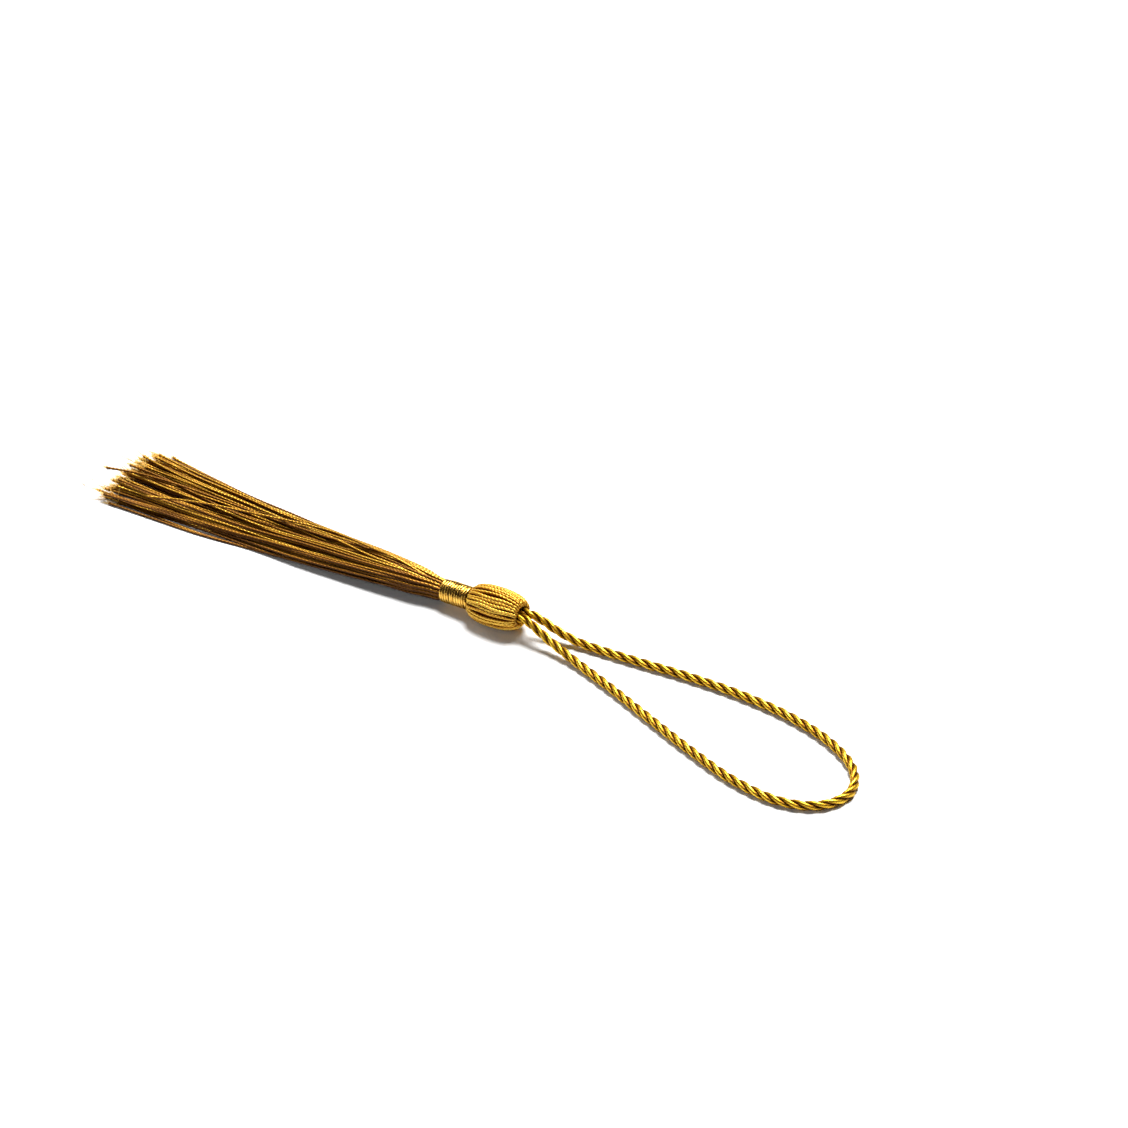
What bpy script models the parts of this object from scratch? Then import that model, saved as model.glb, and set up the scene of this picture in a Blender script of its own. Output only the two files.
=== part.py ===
"""A silk tassel lying on a table, with its hanging loop of twisted cord laid out loosely beside it.

Metres, +Z up. The origin is the middle of the flat spot on which the head rests, and +X runs from the skirt of
loose yarns towards the hanging loop. The yarns of the head are folded over the ends of the loop, tied at the neck
by a wound binding, and cut off at the end of the skirt.

All sizes are in millimetres and turned into metres where a mesh is made.
"""

import math
from collections import namedtuple

import bpy
import numpy as np

MM = 0.001

# Head and neck. A station runs along the tassel's own axis, from the upper end of the neck towards the loop
TILT = math.radians(4.0)  # the head's top end lies this much higher than the thin neck
PRESSED = 0.25  # how far the soft head is flattened where it rests
FOLDED_YARNS = 34  # ridges that can be counted round the head
RIDGE_FADE = 0.35  # ridges and lumps vanish over this share of the radius above the flat spot

HeadRow = namedtuple("HeadRow", "station radius groove")
HEAD_ROWS = (
    HeadRow(-10.2, 3.05, 0.00),
    HeadRow(-9.3, 2.65, 0.08),
    HeadRow(-8.8, 2.10, 0.00),
    HeadRow(0.2, 2.10, 0.00),
    HeadRow(0.6, 2.95, 0.15),
    HeadRow(1.3, 3.75, 0.25),
    HeadRow(2.5, 4.42, 0.30),
    HeadRow(4.2, 4.85, 0.34),
    HeadRow(6.2, 5.03, 0.34),
    HeadRow(8.2, 5.03, 0.34),
    HeadRow(10.2, 4.83, 0.34),
    HeadRow(11.9, 4.42, 0.30),
    HeadRow(13.2, 3.86, 0.24),
    HeadRow(14.1, 3.36, 0.15),
)
HEAD_TOP = 14.5

# Mouth in the head's top, where the cord comes out
MOUTH_HALF_WIDTH = 2.75
MOUTH_HALF_HEIGHT = 1.75
MOUTH_LIP = 0.6
MOUTH_FLOOR = 10.6

# Neck binding, a sleeve of wound thread
BINDING_AROUND = 32
BINDING_INNER_RADIUS = 2.40
BindingRow = namedtuple("BindingRow", "station radius")
BINDING_ROWS = (
    BindingRow(-8.5, 2.62),
    BindingRow(-8.2, 2.86),
    BindingRow(-6.4, 2.93),
    BindingRow(-4.3, 2.96),
    BindingRow(-2.2, 2.92),
    BindingRow(-0.5, 2.85),
    BindingRow(-0.2, 2.64),
)

# Skirt of cut yarns. Reach is the distance from the neck
YARN_RADIUS = 0.30  # one yarn, lying free
ROOT_YARN_RADIUS = 0.17  # the same yarn squeezed by the binding
ROOT_SPACING = 0.50
ROOT_BUNDLE_RADIUS = 2.74
ROOT_ROWS = 12
ROOT_OVERLAP = 0.5  # how far a strand's root goes into the neck
SKIRT_LENGTH = 95.0
LENGTH_SPREAD = 1.3
TIGHT_SPACING = 0.26  # between neighbours of one layer, at the neck and at the skirt's end
LOOSE_SPACING = 1.10
LEAST_GAP = 0.07  # between two strands that lie side by side
BULGE = 1.3  # how much the bundle swells where it leaves the binding
SPREAD_BY = 6.0  # the reach at which each change is complete
BULGED_BY = 9.0
SWOLLEN_BY = 40.0
SETTLED_BY = 60.0
LAYER_PITCH = 0.67
LAYER_SPREAD = (1.32, 1.12, 1.00, 0.94, 0.90, 0.86)  # how wide each layer lies, lowest first
STATIONS = (4.0, 9.0, 16.0, 26.0, 40.0, 58.0, 78.0)  # reaches between a strand's root and its end
SKIRT_SEED = 11
Strand = namedtuple("Strand", "root_side root_height layer place length wander")

# Stray yarns that cross over the top of the skirt, each in place of one strand of the top layer
Stray = namedtuple("Stray", "strand layer side_at_middle side_at_end length")
STRAYS = (
    Stray(3, 6.2, 1.5, 5.0, 96.0),
    Stray(6, 7.4, 1.0, -8.5, 84.0),
    Stray(9, 6.2, -0.5, -2.5, 101.0),
)

# Hanging loop, a cord of three plies
CORD_RADIUS = 1.12
CORD_GROOVE_RADIUS = 0.80  # from the cord's middle to the bottom of a groove
CORD_PLIES = 3
PLY_PROFILE = ((0.0, CORD_GROOVE_RADIUS), (0.36, CORD_RADIUS), (0.64, CORD_RADIUS))  # share of a ply's turn, radius
CORD_LEAD = 10.1  # length of one full turn of a ply
STEPS_PER_LEAD = 12
CORD_END = 10.9  # station of the cord's two ends, just clear of the mouth's floor
LEG_SIDE = 1.3  # how far to the side each leg comes out of the mouth
CORD_REST = 1.2  # height of the cord's middle where it lies on the table
SPLINE_POINTS = 24  # computed between two points of the route
CordPoint = namedtuple("CordPoint", "x y z")
CORD_ROUTE = (
    CordPoint(13.0, 1.75, 4.45),
    CordPoint(17.5, 2.10, 2.75),
    CordPoint(24.0, 2.70, 1.40),
    CordPoint(38.0, 4.20, CORD_REST),
    CordPoint(51.0, 5.80, CORD_REST),
    CordPoint(65.0, 6.60, CORD_REST),
    CordPoint(79.0, 5.80, CORD_REST),
    CordPoint(92.0, 2.60, CORD_REST),
    CordPoint(101.5, -3.20, CORD_REST),
    CordPoint(105.0, -11.00, CORD_REST),
    CordPoint(101.5, -18.60, CORD_REST),
    CordPoint(92.5, -22.40, CORD_REST),
    CordPoint(80.0, -21.60, CORD_REST),
    CordPoint(66.0, -17.60, CORD_REST),
    CordPoint(52.0, -12.80, CORD_REST),
    CordPoint(39.0, -8.20, CORD_REST),
    CordPoint(27.0, -4.50, 1.40),
    CordPoint(18.5, -2.60, 2.75),
    CordPoint(13.2, -1.80, 4.45),
)

YARN_GOLD = (0.56, 0.36, 0.06, 1.0)
THREAD_GOLD = (0.78, 0.58, 0.18, 1.0)
CORD_GOLD = (0.70, 0.45, 0.07, 1.0)
SHARP_EDGE = math.radians(50.0)  # steeper edges aren't shaded smooth
UP = np.array([0.0, 0.0, 1.0])


def smooth_step(x):
    """0 below 0, 1 above 1, and a smooth rise between them."""
    x = np.clip(x, 0.0, 1.0)
    return x * x * (3.0 - 2.0 * x)


def circle(around):
    """Evenly spaced angles, with their cosines and sines."""
    turn = np.arange(around) * 2 * math.pi / around
    return turn, np.cos(turn), np.sin(turn)


def neck_origin():
    """The point of the tassel's axis at station 0. Its lowest profile point is pressed into the table at x = 0."""
    resting = max(HEAD_ROWS, key=lambda row: row.radius * math.cos(TILT) - row.station * math.sin(TILT))
    x = -resting.station * math.cos(TILT) - resting.radius * math.sin(TILT)
    z = resting.radius * math.cos(TILT) - resting.station * math.sin(TILT) - PRESSED
    return np.array([x, 0.0, z])


def on_axis(station, side, height):
    """Points given along, beside and above the tassel's tilted axis, in the part's own frame."""
    station, side, height = np.broadcast_arrays(station, side, height)
    x = station * math.cos(TILT) - height * math.sin(TILT)
    z = station * math.sin(TILT) + height * math.cos(TILT)
    return neck_origin() + np.stack([x, side, z], axis=-1)


def tube_faces(ring_count, around, first, closed):
    """Quads between rings of points, and two end caps or, on a closed tube, quads back to the first ring."""
    faces = []
    for ring in range(ring_count if closed else ring_count - 1):
        here = first + ring * around
        there = first + (ring + 1) % ring_count * around
        for point in range(around):
            after = (point + 1) % around
            faces.append((here + point, here + after, there + after, there + point))
    if not closed:
        last = first + (ring_count - 1) * around
        faces.append(tuple(reversed(range(first, first + around))))
        faces.append(tuple(range(last, last + around)))
    return faces


def mesh_object(name, tubes, material, closed=False):
    """One object made of tubes, each an array of rings of points."""
    points = []
    faces = []
    count = 0
    for rings in tubes:
        ring_count, around, _ = rings.shape
        faces += tube_faces(ring_count, around, count, closed)
        points.append(rings.reshape(-1, 3))
        count += ring_count * around
    mesh = bpy.data.meshes.new(name)
    mesh.from_pydata((np.concatenate(points) * MM).tolist(), [], faces)
    mesh.materials.append(material)
    mesh.shade_smooth()
    mesh.set_sharp_from_angle(angle=SHARP_EDGE)
    obj = bpy.data.objects.new(name, mesh)
    bpy.context.scene.collection.objects.link(obj)
    return obj


def silk_material(name, colour, roughness):
    """A lustrous thread finish."""
    material = bpy.data.materials.new(name)
    material.use_nodes = True
    shader = material.node_tree.nodes["Principled BSDF"]
    shader.inputs["Base Color"].default_value = colour
    shader.inputs["Roughness"].default_value = roughness
    shader.inputs["Metallic"].default_value = 0.0
    material.diffuse_color = colour
    return material


def head_rings():
    """The bulb of folded yarns, from the skirt end of the neck to the floor of the mouth."""
    around = 2 * FOLDED_YARNS
    turn, side, height = circle(around)
    is_groove = np.arange(around) % 2
    above_table = smooth_step((height + 1.0) / RIDGE_FADE)
    lumps = (0.022 * np.cos(2 * turn - 0.7) + 0.018 * np.cos(3 * turn + 1.2)) * above_table
    rings = []
    for row in HEAD_ROWS:
        swell = 1.0 + lumps * smooth_step((row.station - 0.6) / 3.0)
        across = row.radius * swell - row.groove * is_groove * above_table
        rings.append(on_axis(row.station, across * side, across * height))
    mouth_side = MOUTH_HALF_WIDTH * side
    mouth_height = MOUTH_HALF_HEIGHT * height
    lip_radius = HEAD_ROWS[-1].radius
    rings.append(on_axis(HEAD_TOP, (lip_radius * side + mouth_side) / 2, (lip_radius * height + mouth_height) / 2))
    rings.append(on_axis(HEAD_TOP - MOUTH_LIP, mouth_side, mouth_height))
    rings.append(on_axis(MOUTH_FLOOR, mouth_side, mouth_height))
    rings = np.array(rings)
    rings[..., 2] = np.maximum(rings[..., 2], 0.0)
    return rings


def binding_rings():
    """The wound sleeve: its outer side, then back along its inner side."""
    _, side, height = circle(BINDING_AROUND)
    inner = [row._replace(radius=BINDING_INNER_RADIUS) for row in (BINDING_ROWS[-1], BINDING_ROWS[0])]
    rows = list(BINDING_ROWS) + inner
    return np.array([on_axis(row.station, row.radius * side, row.radius * height) for row in rows])


def root_rows():
    """Where the strands leave the neck: rows of evenly staggered points inside the bundle, lowest row first."""
    rows = []
    for row in range(ROOT_ROWS):
        height = (row - (ROOT_ROWS - 1) / 2) * ROOT_SPACING * math.sqrt(0.75)
        chord = math.sqrt(ROOT_BUNDLE_RADIUS**2 - height**2)
        stagger = ROOT_SPACING / 4 * (1 if row % 2 else -1)
        reach = int(chord / ROOT_SPACING) + 1
        sides = [step * ROOT_SPACING + stagger for step in range(-reach, reach + 1)]
        rows.append([(side, height) for side in sides if abs(side) <= chord])
    return rows


def skirt_layers():
    """The strands, layer by layer. Two rows of roots make one layer, in which places count from the middle."""
    random = np.random.default_rng(SKIRT_SEED)
    rows = root_rows()
    layers = []
    for layer in range(ROOT_ROWS // 2):
        roots = sorted(rows[2 * layer] + rows[2 * layer + 1])
        strands = []
        for rank, (side, height) in enumerate(roots):
            place = rank - (len(roots) - 1) / 2
            length = SKIRT_LENGTH + LENGTH_SPREAD * random.standard_normal()
            strands.append(Strand(side, height, layer, place, length, random.uniform(0.0, 2 * math.pi)))
        layers.append(strands)
    return layers


def strand_radius(reach):
    """A strand's half width."""
    return ROOT_YARN_RADIUS + (YARN_RADIUS - ROOT_YARN_RADIUS) * smooth_step(reach / SWOLLEN_BY)


def strand_path(strand, reach):
    """A strand's middle line at distances from the neck. It leaves in its place in the round bundle, comes to lie in
    its layer, and draws together with its neighbours into locks as far as the room between them allows."""
    layer, place = strand.layer, strand.place
    settled = smooth_step(reach / SETTLED_BY)
    spacing = TIGHT_SPACING + (LOOSE_SPACING - TIGHT_SPACING) * (reach / SKIRT_LENGTH) ** 0.72
    spacing = spacing * (1 + (LAYER_SPREAD[layer] - 1) * settled)
    room = np.maximum(0.0, 1 - (2 * strand_radius(reach) + LEAST_GAP) / spacing)
    shift = 0.27 * np.sin(2 * math.pi * place / 4.3 + 1.9 * layer + 0.014 * reach)
    shift += 0.28 * np.sin(2 * math.pi * place / 7.1 + 0.8 * layer - 0.020 * reach)
    shift += 0.17 * np.sin(0.06 * reach + strand.wander)
    sway = 0.9 * (np.sin(0.03 * reach + 2.1 * layer) - math.sin(2.1 * layer))
    bulge = 1 + (BULGE - 1) * smooth_step(reach / BULGED_BY)
    spread = smooth_step(reach / SPREAD_BY)
    side = (1 - spread) * strand.root_side * bulge + spread * spacing * (place + room * shift)
    side += sway * smooth_step((reach - 15.0) / 60.0)
    x, _, z = on_axis(HEAD_ROWS[0].station, 0.0, 0.0)
    height = (1 - settled) * (z + strand.root_height * bulge) + settled * (YARN_RADIUS + layer * LAYER_PITCH)
    return np.stack([x - reach, side, height], axis=-1)


def stray_path(strand, stray, reach):
    """A stray's middle line: it starts as its strand does, rises over the others, and bends across them."""
    x, side, height = strand_path(strand, reach).T
    along = reach / stray.length
    bend = 4 * along * (1 - along) * stray.side_at_middle + along * (2 * along - 1) * stray.side_at_end
    crossing = smooth_step((reach - 14.0) / 22.0)
    rise = (stray.layer - strand.layer) * LAYER_PITCH * smooth_step((reach - 3.0) / 13.0)
    return np.stack([x, side + crossing * (bend - side), height + rise], axis=-1)


def strand_rings(path, reach):
    """A three-sided strand with a level underside. Its first ring lies inside the neck."""
    ahead = np.gradient(path, axis=0)
    sideways = np.cross(UP, ahead)
    sideways /= np.linalg.norm(sideways, axis=1, keepdims=True)
    radius = strand_radius(reach)[:, None]
    corners = (path - radius * (sideways + UP), path + radius * (sideways - UP), path + radius * UP)
    rings = np.stack(corners, axis=1)
    return np.concatenate([rings[:1] + (ROOT_OVERLAP, 0.0, 0.0), rings])


def skirt_rings():
    """The rings of every strand."""
    tubes = []
    for strands in skirt_layers():
        strays = {stray.strand: stray for stray in STRAYS if strands[0].layer == ROOT_ROWS // 2 - 1}
        for rank, strand in enumerate(strands):
            stray = strays.get(rank)
            length = stray.length if stray else strand.length
            reach = np.array((0.0, *STATIONS, length))
            path = stray_path(strand, stray, reach) if stray else strand_path(strand, reach)
            tubes.append(strand_rings(path, reach))
    return tubes


def cord_line():
    """The cord's middle line in even steps: out of the mouth, round the loop, and back. It is a smooth curve
    through the route's points, which it meets along the line between their neighbours."""
    inside = np.array([CORD_END, 12.5, HEAD_TOP, HEAD_TOP + 2.0])
    out = on_axis(inside, LEG_SIDE, 0.0)
    back = on_axis(inside[::-1], -LEG_SIDE, 0.0)
    knots = np.concatenate([out, np.array(CORD_ROUTE), back])
    knots = np.concatenate([2 * knots[:1] - knots[1:2], knots, 2 * knots[-1:] - knots[-2:-1]])
    before, start, end, after = (knots[shift : len(knots) - 3 + shift, None] for shift in range(4))
    t = np.linspace(0.0, 1.0, SPLINE_POINTS, endpoint=False)[None, :, None]
    curve = start + (end - before) * t / 2
    curve = curve + (2 * before - 5 * start + 4 * end - after) * t**2 / 2
    curve = curve + (3 * start - before - 3 * end + after) * t**3 / 2
    curve = np.concatenate([curve.reshape(-1, 3), knots[-2:-1]])
    along = np.append(0.0, np.cumsum(np.linalg.norm(np.diff(curve, axis=0), axis=1)))
    steps = round(along[-1] / CORD_LEAD * STEPS_PER_LEAD)
    even = np.linspace(0.0, along[-1], steps + 1)
    return np.stack([np.interp(even, along, axis) for axis in curve.T], axis=1), even


def cord_rings():
    """The twisted cord: a section with a lobe for each ply, turned a little further at each step."""
    line, along = cord_line()
    ahead = np.gradient(line, axis=0)
    ahead /= np.linalg.norm(ahead, axis=1, keepdims=True)
    sideways = np.cross(UP, ahead)
    sideways /= np.linalg.norm(sideways, axis=1, keepdims=True)
    upward = np.cross(ahead, sideways)
    section = [(ply + share, radius) for ply in range(CORD_PLIES) for share, radius in PLY_PROFILE]
    turn, radius = np.array(section).T
    angle = 2 * math.pi * (turn / CORD_PLIES + along[:, None] / CORD_LEAD)
    across = np.cos(angle)[..., None] * sideways[:, None] + np.sin(angle)[..., None] * upward[:, None]
    return line[:, None] + radius[None, :, None] * across


def fuse(obj, other):
    """Joins another object's shape to this one. The other is only a helper and isn't part of the model."""
    other.hide_render = True
    join = obj.modifiers.new("fused_roots", "BOOLEAN")
    join.operation = "UNION"
    join.object = other


def build():
    """Makes the three pieces: the folded and cut yarns, the neck binding and the hanging loop."""
    for obj in list(bpy.data.objects):
        bpy.data.objects.remove(obj)
    yarn = silk_material("gold_yarn", YARN_GOLD, 0.45)
    thread = silk_material("gold_thread", THREAD_GOLD, 0.28)
    cord = silk_material("gold_cord", CORD_GOLD, 0.38)
    tassel = mesh_object("head_and_skirt", [head_rings()], yarn)
    fuse(tassel, mesh_object("strand_shapes", skirt_rings(), yarn))
    mesh_object("neck_binding", [binding_rings()], thread, closed=True)
    mesh_object("hanging_loop", [cord_rings()], cord)


build()
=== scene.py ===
# %% [markdown]
# # A gold silk tassel with its hanging loop
#
# The tassel lies on a pale table. It is made the way the real one is: a hank of shiny two-ply yarn is
# folded over the ends of a twisted cord, tied tightly just below the fold, and cut off at the other end.
# The fold becomes the ribbed head, the tie becomes the neck, and the free yarns become the skirt.
#
# Everything here is thread, so nearly every piece is the same idea: a small section carried along a line.
# What changes from piece to piece is the line, the shape of the section, and how it twists as it travels.
#
# The solid model comes first and stays fixed. It gives the places and sizes that every piece below has to
# keep.

# %% Load the solid model
import math
from collections import namedtuple
from functools import partial

import bpy
import numpy as np
from mathutils import Matrix, Vector


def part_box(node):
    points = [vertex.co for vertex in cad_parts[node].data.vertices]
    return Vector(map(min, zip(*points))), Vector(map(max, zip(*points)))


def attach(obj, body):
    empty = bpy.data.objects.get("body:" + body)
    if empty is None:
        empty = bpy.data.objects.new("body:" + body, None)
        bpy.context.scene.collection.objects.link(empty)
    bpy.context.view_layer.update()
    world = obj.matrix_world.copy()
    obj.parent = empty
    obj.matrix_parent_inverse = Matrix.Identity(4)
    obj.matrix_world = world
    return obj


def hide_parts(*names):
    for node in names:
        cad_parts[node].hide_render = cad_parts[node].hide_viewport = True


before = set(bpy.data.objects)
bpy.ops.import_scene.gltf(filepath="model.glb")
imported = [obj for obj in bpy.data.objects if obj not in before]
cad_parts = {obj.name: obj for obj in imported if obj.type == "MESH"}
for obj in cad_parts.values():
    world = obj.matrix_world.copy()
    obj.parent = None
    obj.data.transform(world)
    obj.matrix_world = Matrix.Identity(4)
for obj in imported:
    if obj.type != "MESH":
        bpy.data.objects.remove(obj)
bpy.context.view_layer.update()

MM = 0.001  # all lengths below are in millimetres until a mesh is made
UP = np.array([0.0, 0.0, 1.0])
for node in sorted(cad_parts):
    low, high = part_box(node)
    print(node, "from", np.round(np.array(low) / MM, 1), "to", np.round(np.array(high) / MM, 1), "mm")

# %% [markdown]
# ## The camera
#
# Two angles say where the camera looks from, and the size of one picture point on the object says how far
# away it is. The end of the head then only has to appear at the right place in the picture, so the aim is
# moved sideways and up or down by the distance that is missing. A long lens gives the mild perspective of
# a product picture.

# %% Camera
FRAME_PIXELS = 1128
MM_PER_PIXEL = 0.2425  # on the object
HEAD_END_PIXEL = (523, 616)
HEAD_END = np.array([8.1, 0.0, 5.2])
LENS = 110.0
SENSOR = 36.0
AZIMUTH = math.radians(33.0)
ELEVATION = math.radians(36.0)

towards_camera = np.array(
    [
        math.sin(AZIMUTH) * math.cos(ELEVATION),
        -math.cos(AZIMUTH) * math.cos(ELEVATION),
        math.sin(ELEVATION),
    ]
)
picture_right = np.array([math.cos(AZIMUTH), math.sin(AZIMUTH), 0.0])
picture_up = np.cross(towards_camera, picture_right)
right_of_end = (FRAME_PIXELS / 2 - HEAD_END_PIXEL[0]) * MM_PER_PIXEL
above_end = (HEAD_END_PIXEL[1] - FRAME_PIXELS / 2) * MM_PER_PIXEL
aim = HEAD_END + right_of_end * picture_right + above_end * picture_up
distance = FRAME_PIXELS * MM_PER_PIXEL * LENS / SENSOR

camera_data = bpy.data.cameras.new("camera")
camera_data.lens = LENS
camera_data.sensor_width = SENSOR
camera_data.clip_start = 0.01
camera = bpy.data.objects.new("camera", camera_data)
bpy.context.scene.collection.objects.link(camera)
camera_axes = Matrix((picture_right, picture_up, towards_camera)).transposed()
camera_place = Vector((aim + distance * towards_camera) * MM)
camera.matrix_world = Matrix.Translation(camera_place) @ camera_axes.to_4x4()
bpy.context.scene.camera = camera
print(f"camera {distance:.0f} mm from {np.round(aim, 1)}")

# %% [markdown]
# ## Threads as swept sections
#
# A thread could be a curve object with a round bevel, which is quick but always smooth and round. Real
# yarn is plied: two or three thinner threads wound round each other, and the grooves between them are
# what catches the light. So each thread is worked out as a grid of points instead. One parameter runs
# along the thread, the other runs round its section, and the section turns as it goes.


# %% Helpers for swept sections
def smooth_step(x):
    """0 below 0, 1 above 1, and x * x * (3 - 2x) between them."""
    x = np.clip(x, 0.0, 1.0)
    return x * x * (3.0 - 2.0 * x)


def ramp(x, start, over):
    """A smooth step between start and start + over."""
    return smooth_step((x - start) / over)


def unit(vectors):
    """Each vector divided by its own length."""
    return vectors / np.linalg.norm(vectors, axis=-1, keepdims=True)


def carried(line, outward, across_side, across_out):
    """A section carried along a line. At each point of the line, side is at right angles to the line and
    to the outward direction, and out completes the three. A section point lies at line + across_side *
    side + across_out * out. The result is a grid: points along the line, then points round the
    section."""
    ahead = unit(np.gradient(line, axis=0))
    side = unit(np.cross(outward, ahead))
    out = np.cross(ahead, side)
    return line[:, None] + across_side[..., None] * side[:, None] + across_out[..., None] * out[:, None]


def plied_outline(plies, points, nearness):
    """The outline of round plies wound together, as angles, radii and heights. Each ply is a circle of
    radius 1 whose middle lies `nearness` from the common middle. Seen from there at an angle a from the
    nearest ply, the outline is at nearness * cos(a) + sqrt(1 - nearness^2 * sin(a)^2). The radii are
    scaled to reach 1 on the ridges, and the heights run from 0 in the grooves to 1 there."""
    angle = np.arange(points) * 2 * math.pi / points
    share = 2 * math.pi / plies
    from_ply = (angle + share / 2) % share - share / 2
    inside = np.maximum(1.0 - (nearness * np.sin(from_ply)) ** 2, 0.0)
    radius = nearness * np.cos(from_ply) + np.sqrt(inside)
    radius = radius / radius.max()
    height = (radius - radius.min()) / (radius.max() - radius.min())
    return angle, radius, height


two_ply = plied_outline(plies=2, points=8, nearness=0.55)
print("two-ply yarn: a groove is", round(float(two_ply[1].min()), 2), "of the radius from the middle")

# %% [markdown]
# ## From grids to meshes
#
# Each grid becomes a tube of four-sided faces with a small fan of triangles on each end, so that every
# thread is a closed body. Many threads share one mesh, because hundreds of separate objects would be
# slow.
#
# Three things are stored for the materials. A UV map keeps the distance along the thread in millimetres
# and the way round it, so that fine filaments can follow the thread wherever it goes. The attribute
# `crest` keeps the light and shade painted on each point, made mostly from the height of the
# section: painted shade in the grooves, on the undersides and under covering layers, and painted light
# on the crests. The attribute `dye` is one random number for each thread, because no two yarns take the
# dye alike. All of it is written as whole arrays with foreach_set.


# %% Helper that makes a mesh from grids
# A tube's crest holds the light and shade painted on each point of its grid
Tube = namedtuple("Tube", "grid along crest")


def thread_mesh(name, tubes):
    """One object from many tubes. On a grid of n rings of m points, the quad at ring i and point j joins
    (i, j), (i, j + 1), (i + 1, j + 1) and (i + 1, j), and the fans join each end ring to its middle."""
    points, painted_lights, dyes, corners, sizes, uvs = [], [], [], [], [], []
    random = np.random.default_rng(3)
    first = 0
    for tube in tubes:
        n, m, _ = tube.grid.shape
        ring, point = np.meshgrid(np.arange(n - 1), np.arange(m), indexing="ij")
        after = (point + 1) % m
        quads = first + np.stack(
            [ring * m + point, ring * m + after, (ring + 1) * m + after, (ring + 1) * m + point], axis=-1
        )
        start_along, end_along = tube.along[ring], tube.along[ring + 1]
        along = np.stack([start_along, start_along, end_along, end_along], axis=-1)
        around = np.stack([point, point + 1, point + 1, point], axis=-1) / m
        start, end = first + n * m, first + n * m + 1
        j = np.arange(m)
        k = (j + 1) % m
        fan_start = np.stack([np.full(m, start), first + k, first + j], axis=-1)
        fan_end = np.stack([np.full(m, end), first + (n - 1) * m + j, first + (n - 1) * m + k], axis=-1)
        points += [tube.grid.reshape(-1, 3), tube.grid[:1].mean(axis=1), tube.grid[-1:].mean(axis=1)]
        painted_lights += [np.broadcast_to(tube.crest, (n, m)).ravel(), [0.5, 0.5]]
        dyes.append(np.full(n * m + 2, random.uniform()))
        corners += [quads.ravel(), fan_start.ravel(), fan_end.ravel()]
        sizes += [np.full(quads.shape[0] * m, 4), np.full(2 * m, 3)]
        fan_along = np.repeat([tube.along[0], tube.along[-1]], 3 * m)
        fan_around = np.tile(np.stack([j + 0.5, j, j + 1], axis=-1).ravel() / m, 2)
        uvs.append(np.stack([along, around], axis=-1).reshape(-1, 2))
        uvs.append(np.stack([fan_along, fan_around], axis=-1))
        first += n * m + 2
    points = np.concatenate(points) * MM
    corners = np.concatenate(corners)
    sizes = np.concatenate(sizes)
    mesh = bpy.data.meshes.new(name)
    mesh.vertices.add(len(points))
    mesh.vertices.foreach_set("co", points.ravel())
    mesh.loops.add(len(corners))
    mesh.loops.foreach_set("vertex_index", corners)
    mesh.polygons.add(len(sizes))
    mesh.polygons.foreach_set("loop_start", np.concatenate([[0], np.cumsum(sizes)[:-1]]))
    mesh.update(calc_edges=True)
    mesh.uv_layers.new(name="thread").data.foreach_set("uv", np.concatenate(uvs).ravel())
    # crest: painted light and shade, which the material turns into a darker or brighter colour
    mesh.attributes.new("crest", "FLOAT", "POINT").data.foreach_set("value", np.concatenate(painted_lights))
    mesh.attributes.new("dye", "FLOAT", "POINT").data.foreach_set("value", np.concatenate(dyes))
    mesh.shade_smooth()
    mesh.validate()
    obj = bpy.data.objects.new(name, mesh)
    bpy.context.scene.collection.objects.link(obj)
    print(f"{name}: {len(tubes)} threads, {int((sizes - 2).sum())} triangles")
    return obj


# %% [markdown]
# ## The tassel's own axis
#
# The head is thicker than the neck, so a tassel that lies down tips a little towards its skirt. Places on
# the head and the neck are given along that tilted axis: a station from the upper end of the neck towards
# the loop, and two distances across it. The head is soft and rests on a small flat spot, which is where
# the model's origin is.

# %% The tilted axis
TILT = math.radians(4.0)
PRESSED = 0.25
RESTING_STATION = 6.2
RESTING_RADIUS = 5.03
SKIRT_STATION = -10.2  # where the skirt's yarns leave the neck


def on_axis(station, side, height):
    """Points given along, beside and above the tilted axis. The axis is turned by TILT about Y, and moved
    so that the resting radius, less the flattening, touches the table at the origin."""
    station, side, height = np.broadcast_arrays(station, side, height)
    ahead, lift = math.cos(TILT), math.sin(TILT)
    x = (station - RESTING_STATION) * ahead - (height + RESTING_RADIUS) * lift
    z = (station - RESTING_STATION) * lift + (height + RESTING_RADIUS) * ahead - PRESSED
    return np.stack([x, side, z], axis=-1)


print("the axis leaves the neck at", np.round(on_axis(SKIRT_STATION, 0.0, 0.0), 2))
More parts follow.
